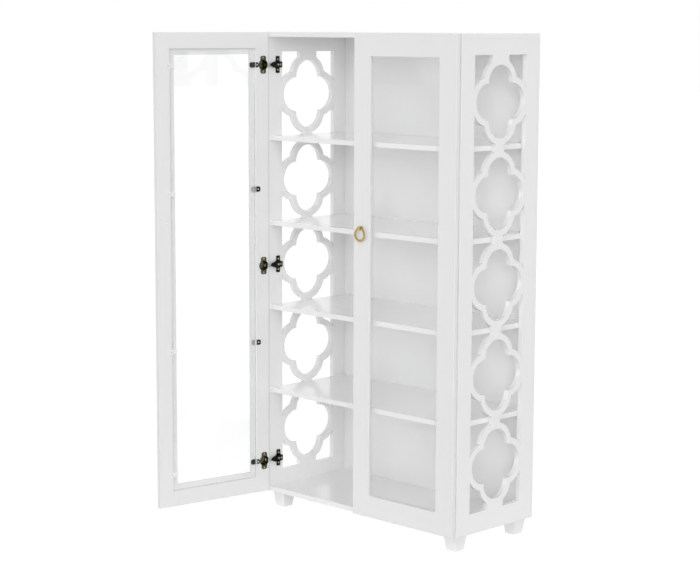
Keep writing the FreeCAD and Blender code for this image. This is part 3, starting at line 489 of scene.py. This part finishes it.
def metal(name, bright, dull, gloss, patina, eased, depth):
    material, tree, shader = new_material(name)
    place = tree.nodes.new("ShaderNodeTexCoord").outputs["Object"]
    skin = add_skin(
        tree, metal_skin, place, Bright=(*bright, 1.0), Dull=(*dull, 1.0), Gloss=gloss, Patina=patina
    )
    tree.links.new(skin["Color"], shader.inputs["Base Color"])
    tree.links.new(skin["Roughness"], shader.inputs["Roughness"])
    shader.inputs["Metallic"].default_value = 1.0
    shader.inputs["Specular Tint"].default_value = grazing_tint
    film = add_film(tree, shader, skin["Height"], metal_relief, depth)
    ease_edges(tree, film, eased, samples=4)
    return material


olive_bronze = metal(
    "olive_bronze", (0.28, 0.26, 0.16), (0.03, 0.028, 0.016), gloss=0.2, patina=230.0,
    eased=0.0004, depth=0.00002,
)
black_bronze = metal(
    "black_bronze", (0.034, 0.032, 0.022), (0.008, 0.0075, 0.005), gloss=0.26, patina=180.0,
    eased=0.0004, depth=0.00002,
)
plated_steel = metal(
    "plated_steel", (0.92, 0.92, 0.9), (0.75, 0.75, 0.73), gloss=0.2, patina=300.0,
    eased=0.0003, depth=0.00001,
)
bright_brass = metal(
    "bright_brass", (0.96, 0.73, 0.25), (0.08, 0.04, 0.006), gloss=0.08, patina=170.0,
    eased=0.0003, depth=0.00001,
)
worn_steel = metal(
    "worn_steel", (0.7, 0.68, 0.6), (0.36, 0.34, 0.28), gloss=0.24, patina=300.0,
    eased=0.0003, depth=0.00001,
)
metals = (olive_bronze, black_bronze, plated_steel, bright_brass, worn_steel)
print("metals:", [finish.name for finish in metals])

# %% [markdown]
# ## Metal with two tones
# The clips that hold the panes are dark where they are screwed down and silvery on
# the tongue that lies on the glass, and the hinge arms are dark with a bright neck.
# That dark tone is painted shade. Both tones are the same metal group. The distance
# from a start point along one direction says which of them shows, and the border is
# a millimetre wide. Where a clip bends, at that border, a painted highlight stands
# for the light that the step catches. The tongues at the top and the bottom, next to
# the hinges, are darkened nearly black with painted shade, while the ones between
# stay silvery.

# %% Nodes for a border
def ramp_node(tree, value, span, start, end):
    """A Map Range node that goes from start to end while the value crosses a span."""
    made = tree.nodes.new("ShaderNodeMapRange")
    made.inputs["From Min"].default_value = span[0]
    made.inputs["From Max"].default_value = span[1]
    made.inputs["To Min"].default_value = start
    made.inputs["To Max"].default_value = end
    tree.links.new(value, made.inputs["Value"])
    return made.outputs["Result"]


def dot_node(tree, vector, direction):
    """How far a vector reaches along a direction."""
    made = tree.nodes.new("ShaderNodeVectorMath")
    made.operation = "DOT_PRODUCT"
    made.inputs[1].default_value = direction
    tree.links.new(vector, made.inputs[0])
    return made.outputs["Value"]


door_middle = sum(c.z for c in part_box("right_door_frame")) / 2
print("the middle of a door is", round(door_middle, 3), "m above the floor")

# %% Two tones, and the hinge arms
half_border = 0.0005
part_plated_patina = 220.0
# The colour of the painted highlight at a clip's step.
painted_highlight_tone = (0.95, 0.97, 0.97, 1.0)
# How far from the door's middle the painted shade on the tongues begins, and where it is full.
painted_shade_from = 0.4
painted_shade_full = 0.5


def two_tone(name, start, along, border, near, far, far_painted_shade=1.0, highlight_width=0.0):
    """Metal in the near tone up to a border along a direction, and in the far tone after it.

    The far tone is darkened by the far painted shade, far above and below the middle of the door.
    A band as wide as the highlight width, round the border, is a painted highlight.
    """
    material, tree, shader = new_material(name)
    place = tree.nodes.new("ShaderNodeTexCoord").outputs["Object"]
    near_skin, far_skin = [
        add_skin(
            tree, metal_skin, place, Bright=(*bright, 1.0), Dull=(*dull, 1.0),
            Gloss=gloss, Patina=part_plated_patina,
        )
        for bright, dull, gloss in (near, far)
    ]
    border_at = Vector(start).dot(Vector(along)) + border
    past = math_node(tree, "SUBTRACT", dot_node(tree, place, along), border_at)
    share = ramp_node(tree, past, (-half_border, half_border), 0.0, 1.0)
    split = tree.nodes.new("ShaderNodeSeparateXYZ")
    tree.links.new(place, split.inputs[0])
    height = math_node(tree, "SUBTRACT", split.outputs["Z"], door_middle)
    off_middle = math_node(tree, "ABSOLUTE", height)
    # Painted shade: far above and below the middle of the door, the far tone is darkened.
    far_shade_factor = ramp_node(tree, off_middle, (painted_shade_from, painted_shade_full), 1.0, far_painted_shade)
    shaded_far_colour = scale_colour(tree, far_skin["Color"], far_shade_factor)
    colour = mix_colours(tree, share, near_skin["Color"], shaded_far_colour)
    from_border = math_node(tree, "ABSOLUTE", past)
    # Painted highlight: a bright band round the border, where the step of a clip catches the light.
    painted_highlight_share = ramp_node(tree, from_border, (highlight_width / 2 - half_border, highlight_width / 2), 1.0, 0.0)
    tree.links.new(mix_colours(tree, painted_highlight_share, colour, painted_highlight_tone), shader.inputs["Base Color"])
    tree.links.new(near_skin["Roughness"], shader.inputs["Roughness"])
    shader.inputs["Metallic"].default_value = 1.0
    add_film(tree, shader, near_skin["Height"], metal_relief, depth=0.00001)
    return material


# The dark tone is painted shade; the silver tone is the metal's own.
painted_shade_tone = ((0.034, 0.034, 0.028), (0.01, 0.01, 0.008), 0.2)
silver_tone = ((0.72, 0.74, 0.68), (0.4, 0.43, 0.37), 0.2)
arm_neck = (0.0, -0.171, 0.0)
arm_metal = two_tone("arm_metal", arm_neck, (0.0, -1.0, 0.0), 0.0, painted_shade_tone, silver_tone)
print(arm_metal.name, "has", len(arm_metal.node_tree.nodes), "nodes")

# %% Clips and hinges
into_right_door = Vector((-1.0, 0.0, 0.0))
into_left_door = Matrix.Rotation(open_angle, 3, "Z") @ Vector((1.0, 0.0, 0.0))
clip_border = 0.0397
# How dark the painted shade makes the top and bottom tongues.
clip_painted_shade = 0.13
# How wide the painted highlight at a clip's step is.
clip_highlight_width = 0.0035
own_finish = {}
for side, hinge, into_door in (
    ("right", right_hinge, into_right_door),
    ("left", left_hinge, into_left_door),
):
    own_finish[f"{side}_hinge_side_clips"] = two_tone(
        f"{side}_clip_metal", hinge, into_door, clip_border, painted_shade_tone, silver_tone,
        far_painted_shade=clip_painted_shade, highlight_width=clip_highlight_width,
    )
for side in ("left", "right"):
    own_finish[f"{side}_hinge_arms"] = arm_metal
    own_finish[f"{side}_hinge_cups"] = olive_bronze
    for screws in ("cup_screws", "plate_screws", "arm_screws"):
        own_finish[f"{side}_{screws}"] = worn_steel
print("own finishes:", {node: finish.name for node, finish in own_finish.items()})

# %% [markdown]
# ## Glass
# The panes are clear float glass. Looked through, they only dim the shelves a
# little, but their cut edges are green, because there the light has come through
# the whole width of the sheet. The shader is a plain glass. For shadow rays and for
# light on its way from one board to another it is swapped for a clear surface, so
# that the room lights the shelves behind the pane, as through a real window.

# %% Clear panes
edge_green = (0.55, 0.74, 0.66, 1.0)
face_clear = (0.992, 0.995, 0.994, 1.0)
shadow_clear = (0.99, 0.994, 0.993, 1.0)
wiping_marks = 0.03
glass_ior = 1.45
face_limit = 0.7


def clear_pane(name, facing):
    """Glass whose colour is green only on faces that look away from the pane's own direction."""
    material, tree, shader = new_material(name)
    place = tree.nodes.new("ShaderNodeTexCoord")
    aligned = math_node(tree, "ABSOLUTE", dot_node(tree, place.outputs["Normal"], facing))
    flat = math_node(tree, "GREATER_THAN", aligned, face_limit)
    tree.links.new(mix_colours(tree, flat, edge_green, face_clear), shader.inputs["Base Color"])
    wiped = noise_node(tree, place.outputs["Object"], scale=7.0, detail=5.0)
    tree.links.new(math_node(tree, "MULTIPLY", wiped, wiping_marks), shader.inputs["Roughness"])
    shader.inputs["Transmission Weight"].default_value = 1.0
    shader.inputs["IOR"].default_value = glass_ior
    rays = tree.nodes.new("ShaderNodeLightPath").outputs
    open_air = tree.nodes.new("ShaderNodeBsdfTransparent")
    open_air.inputs["Color"].default_value = shadow_clear
    either = tree.nodes.new("ShaderNodeMixShader")
    lit_through = math_node(tree, "MAXIMUM", rays["Is Shadow Ray"], rays["Is Diffuse Ray"])
    tree.links.new(lit_through, either.inputs["Fac"])
    tree.links.new(shader.outputs["BSDF"], either.inputs[1])
    tree.links.new(open_air.outputs["BSDF"], either.inputs[2])
    output = [n for n in tree.nodes if n.type == "OUTPUT_MATERIAL"][0]
    tree.links.new(either.outputs[0], output.inputs["Surface"])
    return material


left_facing = Matrix.Rotation(open_angle, 3, "Z") @ Vector((0.0, -1.0, 0.0))
right_glass = clear_pane("right_clear_pane", (0.0, -1.0, 0.0))
left_glass = clear_pane("left_clear_pane", left_facing)
print("panes face", short(left_facing), "and the front")

# %% [markdown]
# ## Bare wood
# The dowels are inside the boards, where only a cut would show them. They still get
# a turned beech finish, with grain from a Wave Texture whose bands are distorted.

# %% Dowel wood
beech, tree, shader = new_material("turned_beech")
place = tree.nodes.new("ShaderNodeTexCoord")
grain = tree.nodes.new("ShaderNodeTexWave")
grain.inputs["Scale"].default_value = 260.0
grain.inputs["Distortion"].default_value = 5.0
tree.links.new(place.outputs["Object"], grain.inputs["Vector"])
ramp = tree.nodes.new("ShaderNodeValToRGB")
ramp.color_ramp.elements[0].color = (0.62, 0.44, 0.26, 1.0)
ramp.color_ramp.elements[1].color = (0.76, 0.6, 0.4, 1.0)
tree.links.new(grain.outputs["Fac"], ramp.inputs["Fac"])
tree.links.new(ramp.outputs["Color"], shader.inputs["Base Color"])
shader.inputs["Roughness"].default_value = 0.6
print("wood:", beech.name)

# %% [markdown]
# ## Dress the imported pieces
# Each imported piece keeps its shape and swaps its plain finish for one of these. The
# record's slot names say which pieces belong together, so the list is short, and
# the few pieces with a finish of their own are named one by one.

# %% Finishes by slot
finish_of_slot = {
    "white_board": case_paint,
    "white_door": door_paint,
    "white_foot": foot_paint,
    "white_clip": white_nylon_and_lit_clips,
    "dark_clip": black_bronze,
    "dark_hinge": black_bronze,
    "bright_steel": plated_steel,
    "warm_brass": bright_brass,
    "bare_wood": beech,
}
slot_of_node = {s["node"]: s["material_slot"] for s in frame["record"]["subparts"]}
own_finish["left_door_glass"] = left_glass
own_finish["right_door_glass"] = right_glass
own_finish["left_pull_screw"] = white_nylon_and_lit_clips
own_finish["right_pull_screw"] = white_nylon_and_lit_clips


def finish_of(node):
    return own_finish.get(node) or finish_of_slot[slot_of_node[node]]


def dress(piece, finish):
    piece.data.materials.clear()
    piece.data.materials.append(finish)


for name, piece in nodes.items():
    dress(piece, finish_of(name))
print("dressed", len(nodes), "nodes")

# %% [markdown]
# ## Panes with ground edges
# A pane that lay flush on its ledge would share a face with it, and a ray can't tell
# which of two shared faces comes first. A real pane rests on a few points and its
# sharp edges are ground off. So each pane is made again, a hair thinner on the side
# of the ledge, with a small bevel all round. The left one is the right one in a
# mirror, swung open with its door.

# %% Panes
off_ledge = Vector((0.0, 0.0003, 0.0))
ground_edge = 0.0006
to_hinge = Matrix.Translation(left_hinge)
from_hinge = Matrix.Translation(-left_hinge)
swing_open = to_hinge @ Matrix.Rotation(open_angle, 4, "Z") @ from_hinge
left_from_right = swing_open @ Matrix.Scale(-1, 4, (1, 0, 0))


def stand_in(piece, node):
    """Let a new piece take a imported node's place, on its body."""
    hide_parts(node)
    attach(piece, body_of_node[node])


def make_pane(node, place):
    low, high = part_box("right_door_glass")
    low = low + off_ledge
    sheet = bmesh.new()
    bmesh.ops.create_cube(sheet, size=1.0)
    bmesh.ops.scale(sheet, vec=high - low, verts=sheet.verts)
    bmesh.ops.translate(sheet, vec=(low + high) / 2, verts=sheet.verts)
    bmesh.ops.bevel(
        sheet, geom=sheet.edges, offset=ground_edge, segments=2, profile=0.5, affect="EDGES", material=-1
    )
    bmesh.ops.transform(sheet, matrix=place, verts=sheet.verts)
    bmesh.ops.recalc_face_normals(sheet, faces=sheet.faces)
    piece = to_object(f"{node}_pane", sheet)
    dress(piece, own_finish[node])
    stand_in(piece, node)
    return piece


panes = [make_pane("right_door_glass", Matrix.Identity(4)), make_pane("left_door_glass", left_from_right)]
print("panes", [(pane.name, len(pane.data.polygons)) for pane in panes])

# %% [markdown]
# ## Screws with a cross recess
# A screw is known by its head: a low pan with a cross pressed into it. The packed
# screws are plain, so each is measured (where its head is, how wide and how high)
# and a better one is made on the same spot. The head starts as a short cone with
# a bevelled rim. Planes cut its flat top into a cross, and an inset with a depth
# presses the cross in.

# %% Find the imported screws
same_point = 1e-6


def islands(node):
    """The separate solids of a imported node, in a fixed order, each as a list of points."""
    shell = bmesh.new()
    shell.from_mesh(nodes[node].data)
    bmesh.ops.remove_doubles(shell, verts=shell.verts, dist=same_point)
    reached = set()
    found = []
    for start in shell.verts:
        if start in reached:
            continue
        reached.add(start)
        to_visit = [start]
        members = []
        while to_visit:
            vert = to_visit.pop()
            members.append(vert.co.copy())
            for edge in vert.link_edges:
                other = edge.other_vert(vert)
                if other not in reached:
                    reached.add(other)
                    to_visit.append(other)
        found.append(members)
    shell.free()
    return found


back_screws = islands("back_screws")
print("the back has", len(back_screws), "screws")

# %% Measure a screw
rim_of_head = 0.9
past_head = 1e-5


def screw_sizes(points, out):
    """Where a screw's head is and how large, with out the way that the head looks."""
    side = out.orthogonal().normalized()
    other = out.cross(side)

    def middle(axis):
        reach = [p.dot(axis) for p in points]
        return (min(reach) + max(reach)) / 2

    along = [p.dot(out) for p in points]
    centre = side * middle(side) + other * middle(other)
    spread = [(p - centre - out * a).length for p, a in zip(points, along)]
    top = max(along)
    head_radius = max(spread)
    under_head = min(a for a, r in zip(along, spread) if r > head_radius * rim_of_head)
    shank = [r for r, a in zip(spread, along) if a < under_head - past_head]
    facing = out.to_track_quat("Z", "Y").to_matrix().to_4x4()
    return {
        "place": Matrix.Translation(centre + out * top) @ facing,
        "radius": head_radius,
        "head": top - under_head,
        "length": top - min(along),
        "shank": max(shank),
    }


to_back = Vector((0.0, 1.0, 0.0))
measured = screw_sizes(back_screws[0], to_back)
print("a back screw, in mm:", {k: round(v * 1000, 2) for k, v in measured.items() if k != "place"})

# %% Press in a cross
slot_share = 0.13
arm_share = 0.46
recess_share = 0.6
recess_draft = 0.25
deepest_recess = 0.0012
flat_below = -1e-7
skew = Vector((1.0, 0.617, 0.379))


def flat_top(shape):
    return [f for f in shape.faces if all(v.co.z > flat_below for v in f.verts)]


def put_in_order(shape):
    """Sort along a skew direction, because cuts and insets leave another order on each run."""
    shape.verts.sort(key=lambda v: v.co.dot(skew))
    shape.edges.sort(key=lambda e: (e.verts[0].co + e.verts[1].co).dot(skew))
    shape.faces.sort(key=lambda f: f.calc_center_median().dot(skew))


def press_cross(shape, radius, head):
    """Cut the flat top of a screw's head into a cross, and press that in."""
    slot = radius * slot_share
    arm = radius * arm_share
    for axis in (Vector((1, 0, 0)), Vector((0, 1, 0))):
        for reach in (-arm, -slot, slot, arm):
            top = flat_top(shape)
            edges = list({e for f in top for e in f.edges})
            corners = list({v for f in top for v in f.verts})
            bmesh.ops.bisect_plane(shape, geom=edges + corners + top, plane_co=axis * reach, plane_no=axis)
    cross = []
    for face in flat_top(shape):
        spot = face.calc_center_median()
        far = max(abs(spot.x), abs(spot.y))
        near = min(abs(spot.x), abs(spot.y))
        if far < arm and near < slot:
            cross.append(face)
    sunk = min(head * recess_share, deepest_recess)
    draft = slot * recess_draft
    bmesh.ops.inset_region(shape, faces=cross, thickness=draft, depth=-sunk, use_even_offset=True)
    put_in_order(shape)


print("the arms of a cross reach", arm_share, "of the way to the rim")

# %% Make one screw
head_sides = 28
shank_sides = 14
head_taper = 0.8
rim_share = 0.3
shank_taper = 0.7


def make_screw(place, radius, head, length, shank):
    """A pan head with a cross recess, top at the place, on a tapered shank."""
    shape = bmesh.new()
    bmesh.ops.create_cone(
        shape, cap_ends=True, segments=head_sides,
        radius1=radius, radius2=radius * head_taper, depth=head,
    )
    bmesh.ops.translate(shape, verts=shape.verts, vec=(0, 0, -head / 2))
    rim = [e for e in shape.edges if all(v.co.z > flat_below for v in e.verts)]
    bmesh.ops.bevel(
        shape, geom=rim, offset=head * rim_share, segments=2, profile=0.5, affect="EDGES", material=-1
    )
    press_cross(shape, radius, head)
    stem_length = length - head
    stem = bmesh.ops.create_cone(
        shape, cap_ends=True, segments=shank_sides,
        radius1=shank * shank_taper, radius2=shank, depth=stem_length,
    )["verts"]
    bmesh.ops.translate(shape, verts=stem, vec=(0, 0, -head - stem_length / 2))
    bmesh.ops.transform(shape, matrix=place, verts=shape.verts)
    bmesh.ops.recalc_face_normals(shape, faces=shape.faces)
    return shape


sample = make_screw(**measured)
print("a screw has", len(sample.faces), "faces")
sample.free()

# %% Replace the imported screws
def screw_set(node, out):
    """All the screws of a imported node, as one piece that stands in for it."""
    gathered = bmesh.new()
    for points in islands(node):
        shape = make_screw(**screw_sizes(points, out))
        single = bpy.data.meshes.new("single_screw")
        shape.to_mesh(single)
        shape.free()
        gathered.from_mesh(single)
        bpy.data.meshes.remove(single)
    piece = to_object(f"{node}_detail", gathered)
    dress(piece, finish_of(node))
    stand_in(piece, node)
    return piece


left_to_back = Matrix.Rotation(open_angle, 3, "Z") @ to_back
screw_facing = {"back_screws": to_back}
for kind in ("cup_screws", "clip_screws", "pull_screw"):
    screw_facing[f"right_{kind}"] = to_back
    screw_facing[f"left_{kind}"] = left_to_back
for kind in ("plate_screws", "arm_screws"):
    screw_facing[f"right_{kind}"] = Vector((-1.0, 0.0, 0.0))
    screw_facing[f"left_{kind}"] = Vector((1.0, 0.0, 0.0))
screw_pieces = [screw_set(node, out) for node, out in screw_facing.items()]
print(len(screw_pieces), "screw sets,", sum(len(p.data.polygons) for p in screw_pieces), "faces")
